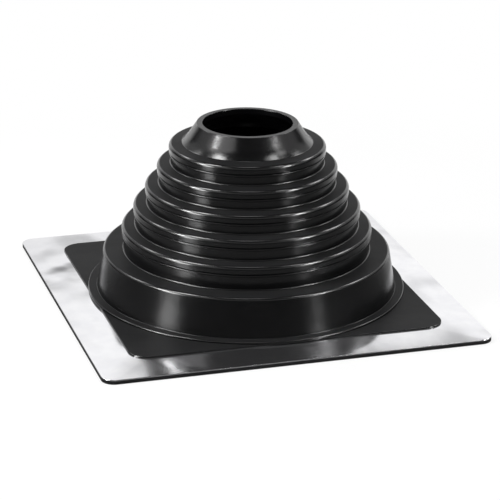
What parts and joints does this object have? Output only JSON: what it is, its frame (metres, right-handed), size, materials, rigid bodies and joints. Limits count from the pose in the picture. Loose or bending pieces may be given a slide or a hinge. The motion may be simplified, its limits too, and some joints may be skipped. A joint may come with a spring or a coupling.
{
  "type": "pipe flashing boot",
  "caption": "Stepped conical rubber boot with a round mouth, wide skirt and square base pad, moulded onto a thin square aluminium flange that seals a pipe where it passes through a roof.",
  "frame": {"origin": "centre of the square underside, in the plane that lies on the roof", "axes": "+Z along the pipe, up through the mouth; X and Y square to the sides of the flange"},
  "size_m": [0.28, 0.28, 0.1299],
  "materials": {
    "boot_rubber": "satin black moulded rubber",
    "flange_sheet": "bright rolled sheet"
  },
  "bodies": {
    "root": {"rubber_boot": "boot_rubber", "aluminium_flange": "flange_sheet"}
  },
  "joints": []
}
